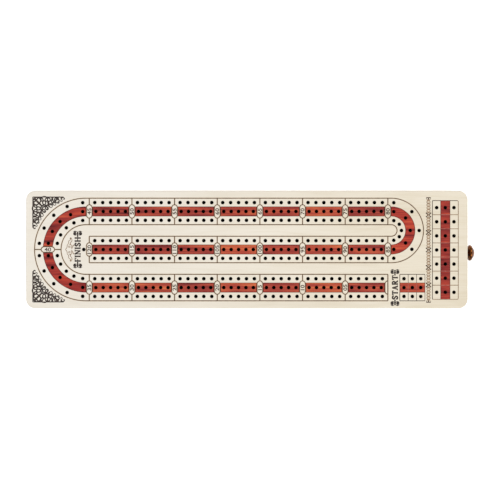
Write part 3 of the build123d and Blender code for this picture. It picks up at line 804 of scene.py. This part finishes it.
class Nodes:
    """A material's node tree, with short calls that add nodes and join them."""

    def __init__(self, name):
        self.material = bpy.data.materials.new(name)
        self.material.use_nodes = True
        self.tree = self.material.node_tree
        self.shader = self.tree.nodes["Principled BSDF"]

    def put(self, socket, value):
        if isinstance(value, bpy.types.NodeSocket):
            self.tree.links.new(value, socket)
        else:
            socket.default_value = value

    def add(self, kind, **inputs):
        """Adds a node, with some of its inputs set or joined by name."""
        node = self.tree.nodes.new("ShaderNode" + kind)
        for key, value in inputs.items():
            self.put(node.inputs[key], value)
        return node

    def feed(self, node, *values):
        """Sets or joins a node's first inputs in order, and returns its first output."""
        for socket, value in zip(node.inputs, values):
            self.put(socket, value)
        return node.outputs[0]

    def math(self, operation, *values):
        node = self.add("Math")
        node.operation = operation
        return self.feed(node, *values)

    def plus(self, a, b):
        return self.math("ADD", a, b)

    def times(self, a, b):
        return self.math("MULTIPLY", a, b)

    def mix(self, share, a, b, mode="MIX"):
        node = self.add("MixRGB")
        node.blend_type = mode
        return self.feed(node, share, a, b)

    def step(self, value, low, high):
        """A smooth step from 0 to 1 as a value goes from low to high."""
        node = self.add("MapRange")
        node.interpolation_type = "SMOOTHSTEP"
        return self.feed(node, value, low, high)

    def ramp(self, value, *stops):
        """A colour ramp; each stop is a position and a colour."""
        node = self.add("ValToRGB")
        while len(node.color_ramp.elements) < len(stops):
            node.color_ramp.elements.new(0.5)
        for element, (position, colour) in zip(node.color_ramp.elements, stops):
            element.position = position
            element.color = colour
        return self.feed(node, value)

    def attribute(self, name):
        node = self.add("Attribute")
        node.attribute_name = name
        return node.outputs["Fac"]

    def place(self, scale, seed=None):
        """The surface point in millimetres times scale, moved aside by a seed."""
        spot = self.add("TexCoord").outputs["Object"]
        point = self.add("Mapping", Vector=spot, Scale=[s / MM for s in scale]).outputs[0]
        if seed is None:
            return point
        node = self.add("VectorMath")
        node.operation = "ADD"
        return self.feed(node, point, self.add("CombineXYZ", X=seed, Y=seed, Z=seed).outputs[0])

    def axes(self, seed=None):
        """The surface point's three coordinates in millimetres."""
        return self.add("SeparateXYZ", Vector=self.place((1, 1, 1), seed)).outputs

    def noise(self, scale, detail=3.0, seed=None, roughness=0.55):
        point = self.place(scale, seed)
        return self.add("TexNoise", Vector=point, Scale=1.0, Detail=detail, Roughness=roughness).outputs[0]

    def surface(self, colour, roughness, height, bump, metal=0.0):
        """Joins the shader's inputs and returns the material; bump is in millimetres."""
        self.put(self.shader.inputs["Base Color"], colour)
        self.put(self.shader.inputs["Roughness"], roughness)
        self.shader.inputs["Metallic"].default_value = metal
        normal = self.add("Bump", Height=height, Distance=bump * MM, Strength=1.0).outputs[0]
        self.put(self.shader.inputs["Normal"], normal)
        return self.material


def srgb(*levels):
    """A linear colour from 0 to 255 sRGB values."""
    shares = [level / 255 for level in levels]
    linear = [c / 12.92 if c <= 0.04045 else ((c + 0.055) / 1.055) ** 2.4 for c in shares]
    return (*linear, 1.0)


def along(axis, lengthwise, across):
    """A noise scale that is drawn out along an axis: 0 for X, 1 for Y, 2 for Z."""
    return [lengthwise if i == axis else across for i in range(3)]


RING_WIDTH = 3.4
HEART_DISTANCE = 64.0
LAYER_PAIR = 2.0


def maple(name, axis=0, light=(216, 208, 192), dark=(198, 186, 162), drift=0.0, ply=False):
    """Pale maple with its grain along an axis; drift yellows it towards +X, and ply layers its edges."""
    n = Nodes(name)
    seed = n.attribute("seed")
    spot = n.axes(seed)
    near, far = [spot[i] for i in range(3) if i != axis]
    wander = n.times(n.noise(along(axis, 0.006, 0.05), 2.0, seed), 26.0)
    far = n.plus(far, HEART_DISTANCE)
    depth = n.plus(n.math("SQRT", n.plus(n.times(far, far), n.times(near, near))), wander)
    rings = n.step(n.math("SINE", n.times(depth, 2 * pi / RING_WIDTH)), 0.2, 1.0)
    fibres = n.noise(along(axis, 0.035, 1.6), 5.0, seed)
    patches = n.noise(along(axis, 0.008, 0.04), 2.0, seed)
    flecks = n.step(n.noise(along(axis, 0.22, 2.2), 2.0, seed), 0.68, 0.78)
    tone = n.times(n.step(patches, 0.3, 0.7), 0.38)
    tone = n.plus(tone, n.times(rings, 0.16))
    tone = n.plus(tone, n.times(n.step(fibres, 0.3, 0.75), 0.34))
    if drift:
        x = n.axes()[0]
        tone = n.plus(tone, n.times(n.step(x, 0.0, HALF_LENGTH), drift))
        cool = n.times(n.step(x, HALF_LENGTH, -HALF_LENGTH), 2 * drift)
        colour = n.mix(cool, n.mix(tone, srgb(*light), srgb(*dark)), srgb(211, 207, 202))
    else:
        colour = n.mix(tone, srgb(*light), srgb(*dark))
    colour = n.mix(n.times(flecks, 0.3), colour, srgb(176, 150, 118))
    if ply:
        layer = n.step(n.math("SINE", n.times(n.axes()[2], 2 * pi / LAYER_PAIR)), -0.1, 0.1)
        up = n.add("SeparateXYZ", Vector=n.add("NewGeometry").outputs["Normal"]).outputs[2]
        edge = n.step(n.math("ABSOLUTE", up), 0.8, 0.4)
        colour = n.mix(n.times(layer, edge), colour, srgb(158, 122, 84))
    return n.surface(colour, n.plus(0.34, n.times(fibres, 0.16)), fibres, 0.03)


def burnt(name, deep, edge):
    """The scorched floor of an engraved line, uneven along its length."""
    n = Nodes(name)
    patches = n.noise((0.35, 0.35, 0.35), 4.0)
    colour = n.mix(n.step(patches, 0.3, 0.72), srgb(*deep), srgb(*edge))
    grit = n.noise((3.0, 3.0, 3.0), 3.0)
    return n.surface(colour, n.plus(0.68, n.times(grit, 0.2)), grit, 0.05)


def hole_wall_scorch_and_painted_shade():
    """A drilled hole's wall: wood at its mouth, near black below, partly drill scorch and partly painted
    shade of the hole's depth.
    """
    n = Nodes("hole_wall_scorch_and_painted_shade")
    height = n.plus(n.axes()[2], n.times(n.noise((0.9, 0.9, 0.9)), 0.5))
    # Painted shade: below the mouth the wall darkens to near black, standing in for the shade deep in the
    # hole, over a real scorch.
    colour = n.mix(n.step(height, TOP - 0.9, TOP + 0.3), srgb(26, 15, 10), srgb(92, 60, 42))
    turning = n.noise((0.6, 0.6, 4.0), 3.0)
    return n.surface(colour, n.plus(0.7, n.times(turning, 0.15)), turning, 0.06)


def bloodwood(name, edge=0.0):
    """Deep red bloodwood with orange streaks along X; each strip has its own tone and seed."""
    n = Nodes(name)
    seed, tone, crimson = n.attribute("seed"), n.attribute("tone"), n.attribute("crimson")
    broad = n.noise((0.03, 0.36, 0.36), 3.0, seed)
    streaks = n.noise((0.03, 1.1, 1.1), 5.0, seed, 0.62)
    pores = n.noise((0.3, 6.0, 6.0), 2.0, seed)
    value = n.plus(n.times(broad, 0.75), n.times(streaks, 0.45))
    value = n.plus(value, n.times(n.math("SUBTRACT", tone, 0.5), 0.3))
    colour = n.ramp(
        value,
        (0.38, srgb(84, 26, 28)),
        (0.52, srgb(128, 46, 41)),
        (0.66, srgb(162, 66, 49)),
        (0.82, srgb(193, 101, 62)),
    )
    colour = n.mix(crimson, colour, (1.0, 0.6, 0.66, 1.0), "MULTIPLY")
    colour = n.mix(n.times(n.step(pores, 0.62, 0.72), 0.35), colour, srgb(84, 16, 14))
    # Painted shade with scorch: the copy for a strip's rim, walls and underside is darkened towards a deep
    # brown-red.
    if edge:
        colour = n.mix(edge, colour, srgb(58, 22, 16))
    n.shader.inputs["Specular IOR Level"].default_value = 0.12
    return n.surface(colour, n.plus(0.38, n.times(streaks, 0.2)), streaks, 0.03)


def metal(name, colour, tarnish, roughness, share=0.5):
    """Turned metal with faint tool marks round X, and patches of tarnish."""
    n = Nodes(name)
    patches = n.noise((0.25, 0.25, 0.25), 4.0)
    marks = n.noise((9.0, 0.4, 0.4), 2.0)
    shade = n.mix(n.times(n.step(patches, 0.35, 0.7), share), srgb(*colour), srgb(*tarnish))
    return n.surface(shade, n.plus(roughness, n.times(patches, 0.16)), marks, 0.006, metal=1.0)


MAPLE = maple("maple_long")
MAPLE_TOP = maple("maple_top", drift=0.24)
MAPLE_ACROSS = maple("maple_across", axis=1)
PLY = maple("birch_ply", light=(214, 192, 156), dark=(190, 162, 122), ply=True)
LINE = burnt("burnt_line", (38, 22, 10), (78, 52, 28))
DEEP_LINE = burnt("deep_burnt_line", (24, 16, 13), (56, 42, 34))
FINE_LINE = burnt("light_burnt_line", (116, 90, 66), (150, 124, 96))
TAN = burnt("tan_burn", (184, 162, 136), (202, 184, 160))
# Hole walls, near black below the mouth by painted shade as well as scorch.
HOLE = hole_wall_scorch_and_painted_shade()
BLOODWOOD = bloodwood("bloodwood")
# A darkened copy for each strip's rim: partly scorch, partly painted shade along the seam.
BLOODWOOD_EDGE = bloodwood("bloodwood_scorch_and_painted_shade_edge", edge=0.6)
INLAY_LINE = burnt("dusty_inlay_line", (134, 66, 58), (168, 104, 92))
BRASS = metal("polished_brass", (226, 178, 92), (150, 104, 44), 0.16)
ANTIQUE_BRASS = metal("antique_brass", (122, 72, 36), (46, 26, 16), 0.17, 0.9)
COPPER = metal("polished_copper", (214, 128, 92), (132, 66, 44), 0.18)
STEEL = metal("polished_steel", (188, 188, 192), (122, 122, 128), 0.2, 0.4)
# The record's slot that each piece's main material stands for.
RECORD_SLOTS = {MAPLE: "maple", MAPLE_TOP: "maple", MAPLE_ACROSS: "maple", PLY: "birch_ply"}
RECORD_SLOTS |= {BLOODWOOD: "bloodwood", ANTIQUE_BRASS: "antique_brass"}
RECORD_SLOTS |= {BRASS: "brass", COPPER: "copper", STEEL: "steel"}


# ---- The top and its inlays ----


def top_board():
    """The top: engraved lines, pockets and holes in its face, a rounded upper edge and a flat underside."""
    plan = Plan()
    rim = case_outline(EDGE_ROUND)
    plan.add("face", rim)
    track_lines(plan)
    box_lines(plan)
    for side in (-1, 1):
        corner_ornament(plan, side)
    label(plan, "FINISH", FINISH_LABEL_X, 0)
    label(plan, "START", START_LABEL_X, -TRACK_PITCH)
    band_ornament(plan)
    flourish(plan)
    for _, shape, _, _ in inlays():
        plan.add("pocket", shape(inset=-INLAY_GAP))
    for x, y in all_holes():
        plan.add("hole", circle(x, y, HOLE_DIAMETER / 2))
    levels = {
        "face": (TOP, MAPLE_TOP),
        "tan": (TOP - TAN_DEPTH, TAN),
        "fine": (TOP - FINE_DEPTH, FINE_LINE),
        "line": (TOP - LINE_DEPTH, LINE),
        "deep": (TOP - LINE_DEPTH, DEEP_LINE),
        "pocket": (TOP - INLAY_DEPTH, LINE),
        "hole": (TOP - HOLE_DEPTH, HOLE),
    }
    builder = Builder(MAPLE_TOP)
    place = relief(builder, plan, levels)
    ring = [builder.index[place[i], TOP] for i in range(len(rim))]
    turns = [radians(turn) for turn in range(15, 105, 15)]
    profile = [(EDGE_ROUND * (1 - sin(a)), TOP - EDGE_ROUND * (1 - cos(a))) for a in turns]
    profile += [(0, BOARD_LOW.z + EASE), (EASE, BOARD_LOW.z)]
    for inset, z in profile:
        lower = builder.ring(case_outline(inset), z)
        builder.band(ring, lower)
        ring = lower
    builder.face(ring[::-1])
    finish(builder.mesh("top_board_engraved"), "case", "top_board", {"seed": 0.0})


# Keeps each strip's grain apart from the others'.
INLAY_SEED_STEP = 7.3


def inlay(name, shape, tone, crimson, seed):
    """One bloodwood strip with a dark edge, partly scorch and partly painted shade, drilled through, with
    any ruled lines that cross it.
    """
    outline = shape(inset=0)
    plan = Plan()
    plan.add("edge", outline)
    plan.add("face", shape(inset=INLAY_EDGE))
    if name in ("inlay_start", "inlay_games"):
        box_lines(plan)
    xs, ys = zip(*outline)
    for x, y in all_holes():
        if min(xs) < x < max(xs) and min(ys) < y < max(ys):
            plan.add("hole", circle(x, y, HOLE_DIAMETER / 2))
    base = TOP - INLAY_DEPTH
    levels = {
        "edge": (TOP - EDGE_DEPTH, BLOODWOOD_EDGE),
        "face": (TOP, BLOODWOOD),
        "line": (TOP - FINE_DEPTH, INLAY_LINE),
        "fine": (TOP - FINE_DEPTH, INLAY_LINE),
        "hole": (base, HOLE),
    }
    builder = Builder(BLOODWOOD)
    relief(builder, plan, levels, (base, BLOODWOOD_EDGE))
    attributes = {"seed": seed, "tone": tone, "crimson": crimson}
    finish(builder.mesh(f"{name}_strip"), "case", name, attributes)


# ---- The case and the drawer ----


def eased_prism(node, outline, z0, z1, material, body, seed, turned=False):
    """A board with eased edges; outline gives its plan for an inset, and turned stands the plan across X."""
    builder = Builder(material)
    middle = EASE * ROUND_MIDDLE
    steps = [(EASE, z1), (middle, z1 - middle), (0, z1 - EASE)]
    steps += [(0, z0 + EASE), (middle, z0 + middle), (EASE, z0)]
    rings = [builder.ring(outline(inset=inset), z) for inset, z in steps]
    builder.face(rings[0])
    for upper, lower in zip(rings, rings[1:]):
        builder.band(upper, lower)
    builder.face(rings[-1][::-1])
    if turned:
        builder.vertices = [(z, x, y) for x, y, z in builder.vertices]
    finish(builder.mesh(f"{node}_wood"), body, node, {"seed": seed})


def rail_outline(side, inset):
    """A rail's plan: a long strip whose outer corners follow the case's."""
    inner, radius = box_mm("side_rail_rear")[0].y + inset, CORNER_RADIUS - inset
    x, y = HALF_LENGTH - CORNER_RADIUS, HALF_WIDTH - CORNER_RADIUS
    loop = [(-HALF_LENGTH + inset, inner), (HALF_LENGTH - inset, inner)]
    loop += arc(x, y, radius, 0, 90, 6) + arc(-x, y, radius, 90, 180, 6)
    return loop if side > 0 else [(a, -b) for a, b in reversed(loop)]


def case_parts():
    low, high = box_mm("side_rail_rear")
    for side, node in ((-1, "side_rail_front"), (1, "side_rail_rear")):
        eased_prism(node, partial(rail_outline, side), low.z, high.z, MAPLE, "case", 11.0 + 5 * side)
    low, high = box_mm("end_block")
    outline = partial(rectangle, low.x, high.x, low.y, high.y)
    eased_prism("end_block", outline, low.z, high.z, MAPLE_ACROSS, "case", 3.7)
    bottom_panel()


def screw_places():
    """Where the bottom's screws stand: along the middle of each rail and of the end block."""
    low, high = box_mm("side_rail_rear")
    rail_y = (low.y + high.y) / 2
    low, high = box_mm("end_block")
    end_x = (low.x + high.x) / 2
    along_rails = [(x, side * rail_y) for x in SCREW_X for side in (-1, 1)]
    return along_rails + [(end_x, side * SCREW_END_Y) for side in (-1, 1)]


def pierced_panel(inset, radius):
    """The bottom panel's plan with a round hole for each screw."""
    plan = Plan()
    plan.add("face", case_outline(inset))
    for x, y in screw_places():
        plan.add("hole", circle(x, y, radius))
    return plan


def bottom_panel():
    """The plywood bottom, chamfered underneath, with a countersunk hole for each screw."""
    low, high = box_mm("bottom_panel")
    builder = Builder(PLY)
    upper_rim, *upper_holes = builder.pierced_face(pierced_panel(0, SCREW_HOLE_RADIUS), high.z)
    lower_plan = pierced_panel(PANEL_CHAMFER, SCREW_MOUTH_RADIUS)
    lower_rim, *lower_holes = builder.pierced_face(lower_plan, low.z, facing=-1)
    arris = builder.ring(case_outline(0), low.z + PANEL_CHAMFER)
    builder.band(upper_rim, arris)
    builder.band(arris, lower_rim)
    mouth_z = low.z + SCREW_MOUTH_DEPTH
    neck_z = mouth_z + SCREW_MOUTH_RADIUS - SCREW_HOLE_RADIUS
    for (x, y), upper, lower in zip(screw_places(), upper_holes, lower_holes):
        neck = builder.ring(circle(x, y, SCREW_HOLE_RADIUS), neck_z)
        mouth = builder.ring(circle(x, y, SCREW_MOUTH_RADIUS), mouth_z)
        for above, below in ((upper, neck), (neck, mouth), (mouth, lower)):
            builder.band(below, above)
    finish(builder.mesh("bottom_panel_wood"), "case", "bottom_panel", {"seed": 21.0})


def divider_outline(low, high, inset):
    """A divider seen from its front: a board with a round finger scoop in its top edge."""
    radius = SCOOP_RADIUS + inset
    centre = high.z + SCOOP_RADIUS - SCOOP_DEPTH
    half = degrees(asin((centre - high.z + inset) / radius))
    scoop = arc(0, centre, radius, -half, -180 + half, 5)
    y0, y1, z0, z1 = low.y + inset, high.y - inset, low.z + inset, high.z - inset
    return [(y0, z0), (y1, z0), (y1, z1)] + scoop + [(y0, z1)]


def eased_copy(node, material, seed, ease):
    """A drawer node's CAD shape with its sharp edges eased."""
    mesh = frame["nodes"][node].data.copy()
    mesh.name = f"{node}_wood"
    mesh.materials.clear()
    mesh.materials.append(material)
    work = bmesh.new()
    work.from_mesh(mesh)
    bmesh.ops.remove_doubles(work, verts=work.verts, dist=1e-6)
    bmesh.ops.dissolve_limit(work, angle_limit=radians(1), verts=work.verts, edges=work.edges)
    sharp = [e for e in work.edges if len(e.link_faces) == 2 and e.calc_face_angle() > radians(EASED_ANGLE)]
    bevel = {"offset": ease * MM, "segments": 2, "profile": 0.6, "affect": "EDGES", "clamp_overlap": True}
    bmesh.ops.bevel(work, geom=sharp, **bevel)
    work.to_mesh(mesh)
    work.free()
    mesh.polygons.foreach_set("material_index", [0] * len(mesh.polygons))
    finish(mesh, "drawer", node, {"seed": seed})


def drawer_parts():
    eased_copy("drawer_front", MAPLE_ACROSS, 31.0, EASE)
    eased_copy("drawer_back", MAPLE_ACROSS, 37.0, EASE)
    eased_copy("drawer_side_front", MAPLE, 47.0, SIDE_EASE)
    eased_copy("drawer_side_rear", MAPLE, 53.0, SIDE_EASE)
    eased_copy("drawer_bottom", PLY, 61.0, PLY_EASE)
    for number in (1, 2, 3):
        node = f"drawer_divider_{number}"
        low, high = box_mm(node)
        outline = partial(divider_outline, low, high)
        eased_prism(node, outline, low.x, high.x, MAPLE_ACROSS, "drawer", 70.0 + number, turned=True)


# ---- Turned metal: profiles are stations along X and radii ----

KNOB_Y = -3.0
KNOB_FOOT = [(0, 0), (0, 4.5), (0.1, 4.6)] + smooth([(0.9, 4.6), (1.55, 4.35), (1.8, 3.7)], 4)
KNOB_NECK = [(2.3, 3.15), (3.6, 2.9), (4.8, 3.5), (5.9, 5.4)]
KNOB_DOME = [(6.6, 6.75), (7.6, 7.0), (8.5, 6.7), (9.0, 6.0)]
KNOB_GROOVE = [(9.0, 5.75), (9.25, 5.5)]
KNOB_TOP = 11.5
PEG_PIN = [(0, 0), (0, 0.65), (0.15, 0.9), (0.5, 1.15), (11.9, 1.49), (12, 1.52)]
PEG_COLLAR = [(12.02, 1.62), (12.12, 1.7), (12.88, 1.7), (13, 1.62)]
PEG_WAIST = smooth([(13.1, 1.5), (13.4, 1.35), (16, 1.5), (20, 1.77)], 3)
PEG_GROOVE = [(20.1, 1.65), (20.5, 1.65), (20.6, 1.81)]
PEG_FLARE = smooth([(20.6, 1.81), (22.5, 1.94), (24, 2.07)], 3)
PEG_RIM = smooth([(24.2, 2.1), (24.8, 2.36), (25, 2.4)], 3)
PEG_LENGTH = 27.0
PEG_METALS = {"brass": BRASS, "copper": COPPER, "steel": STEEL}


def cap(x0, radius, x1, count=8):
    """Points of a spherical cap's outline, from just past its rim to its top on the axis."""
    rise = x1 - x0
    ball = (radius**2 + rise**2) / (2 * rise)
    centre = x1 - ball
    full = atan2(radius, x0 - centre)
    angles = [full * (1 - (i + 1) / count) for i in range(count)]
    return [(centre + ball * cos(a), ball * sin(a)) for a in angles]


def lathe(node, profile, matrix, material, sides):
    """Turns a profile about X into a drawer node's shape; the profile starts and ends on the axis."""
    builder = Builder(material)
    turns = [2 * pi * i / sides for i in range(sides)]
    rings = []
    for x, radius in profile:
        around = turns if radius > 1e-4 else turns[:1]
        rings.append(builder.ring([(radius * cos(a), radius * sin(a)) for a in around], x))
    for first, second in zip(rings, rings[1:]):
        for i in range(sides):
            corners = [(first, i), (first, i + 1), (second, i + 1), (second, i)]
            builder.face(list(dict.fromkeys(ring[k % len(ring)] for ring, k in corners)))
    builder.vertices = [tuple(matrix @ Vector((z, x, y))) for x, y, z in builder.vertices]
    finish(builder.mesh(f"{node}_turned"), "drawer", node, {}, TURNED_ANGLE)


def knob():
    """The turned knob, to the CAD's stations, with a fine groove round its dome."""
    low, high = box_mm("drawer_knob")
    middle = Vector((low.x, KNOB_Y, (low.z + high.z) / 2)) * MM
    profile = KNOB_FOOT + smooth(KNOB_NECK + KNOB_DOME) + KNOB_GROOVE + cap(*KNOB_GROOVE[-1], KNOB_TOP)
    lathe("drawer_knob", profile, Matrix.Translation(middle), ANTIQUE_BRASS, sides=64)


def pegs():
    """Each peg lies where its CAD node lies."""
    profile = PEG_PIN + PEG_COLLAR + PEG_WAIST + PEG_GROOVE + PEG_FLARE + PEG_RIM
    profile += cap(*PEG_RIM[-1], PEG_LENGTH)
    for kind, material in PEG_METALS.items():
        for number in (1, 2, 3):
            node = f"peg_{kind}_{number}"
            lathe(node, profile, peg_place(node), material, sides=32)


def peg_place(node):
    """The turn and place that carry a peg drawn along X onto its node, by the node's dome and tip."""
    corners = [v.co.copy() for v in frame["nodes"][node].data.vertices]
    centre = sum(corners, Vector()) / len(corners)
    one = max(corners, key=lambda c: (c - centre).length)
    other = max(corners, key=lambda c: (c - one).length)
    widest = max(corners, key=lambda c: (c - other).cross(one - other).length)
    head, tip = sorted((one, other), key=lambda end: (end - widest).length)
    reach = (tip - head).length - 0.01 * MM
    rim = dict.fromkeys(tuple(c) for c in corners if (c - head).length > reach)
    tip_middle = sum((Vector(c) for c in rim), Vector()) / len(rim)
    direction = (head - tip_middle).normalized()
    turn = direction.to_track_quat("X", "Z").to_matrix().to_4x4()
    return Matrix.Translation(head - direction * PEG_LENGTH * MM) @ turn


def small_metal():
    """The screws and the washer keep their CAD shapes."""
    for node, material in (("bottom_screws", BRASS), ("knob_screw", STEEL), ("knob_washer", STEEL)):
        shape = frame["nodes"][node]
        shape.data.materials.clear()
        shape.data.materials.append(material)


# ---- Stage ----

TABLE_REACH = 12000.0
# How far the table reaches in under the case's edge.
TABLE_OVERLAP = 1.2
TABLE_TONES = ((0.86, 0.86, 0.86, 1), (0.9, 0.9, 0.9, 1))
TABLE_GLOW = 0.3
WHITE = (1, 1, 1, 1)
SKY_STRENGTH = 0.5
# Each sun's azimuth, elevation, strength and angular size.
SUNS = ((30, 52, 1.35, 18), (150, 54, 0.95, 22), (270, 54, 0.85, 22))
CAMERA_X = 2.7
CAMERA_HEIGHT = 800.0
VIEW_WIDTH = 430.8
SENSOR = 36.0
FAR_CLIP = 20


def table():
    """A pale lit table, open under the case, so that the underside shows from below."""
    n = Nodes("pale_table")
    speckle = n.noise((0.02, 0.02, 0.02), 2.0)
    n.put(n.shader.inputs["Base Color"], n.mix(speckle, *TABLE_TONES))
    n.shader.inputs["Roughness"].default_value = 0.85
    n.shader.inputs["Emission Color"].default_value = WHITE
    n.shader.inputs["Emission Strength"].default_value = TABLE_GLOW
    plan = Plan()
    plan.add("face", rectangle(-TABLE_REACH, TABLE_REACH, -TABLE_REACH, TABLE_REACH))
    plan.add("hole", case_outline(TABLE_OVERLAP))
    builder = Builder(n.material)
    builder.pierced_face(plan, 0)
    top = bpy.data.objects.new("table", builder.mesh("table"))
    bpy.context.scene.collection.objects.link(top)


def lights():
    """Soft light from above and all round."""
    scene = bpy.context.scene
    scene.world = bpy.data.worlds.new("studio")
    scene.world.use_nodes = True
    sky = scene.world.node_tree.nodes["Background"]
    sky.inputs["Color"].default_value = WHITE
    sky.inputs["Strength"].default_value = SKY_STRENGTH
    for number, (azimuth, elevation, strength, spread) in enumerate(SUNS):
        light = bpy.data.lights.new(f"sun{number}", "SUN")
        light.energy = strength
        light.angle = radians(spread)
        lamp = bpy.data.objects.new(f"sun{number}", light)
        lamp.rotation_euler = (radians(90 - elevation), 0, radians(azimuth))
        scene.collection.objects.link(lamp)


def camera():
    """The camera straight above the board."""
    scene = bpy.context.scene
    data = bpy.data.cameras.new("camera")
    data.sensor_width = SENSOR
    data.lens = SENSOR * CAMERA_HEIGHT / VIEW_WIDTH
    data.clip_end = FAR_CLIP
    scene.camera = bpy.data.objects.new("camera", data)
    scene.camera.location = Vector((CAMERA_X, 0, TOP + CAMERA_HEIGHT)) * MM
    scene.collection.objects.link(scene.camera)
    scene.view_settings.view_transform = "Standard"


top_board()
for number, strip in enumerate(inlays()):
    inlay(*strip, INLAY_SEED_STEP * number)
case_parts()
drawer_parts()
knob()
pegs()
small_metal()
table()
lights()
camera()
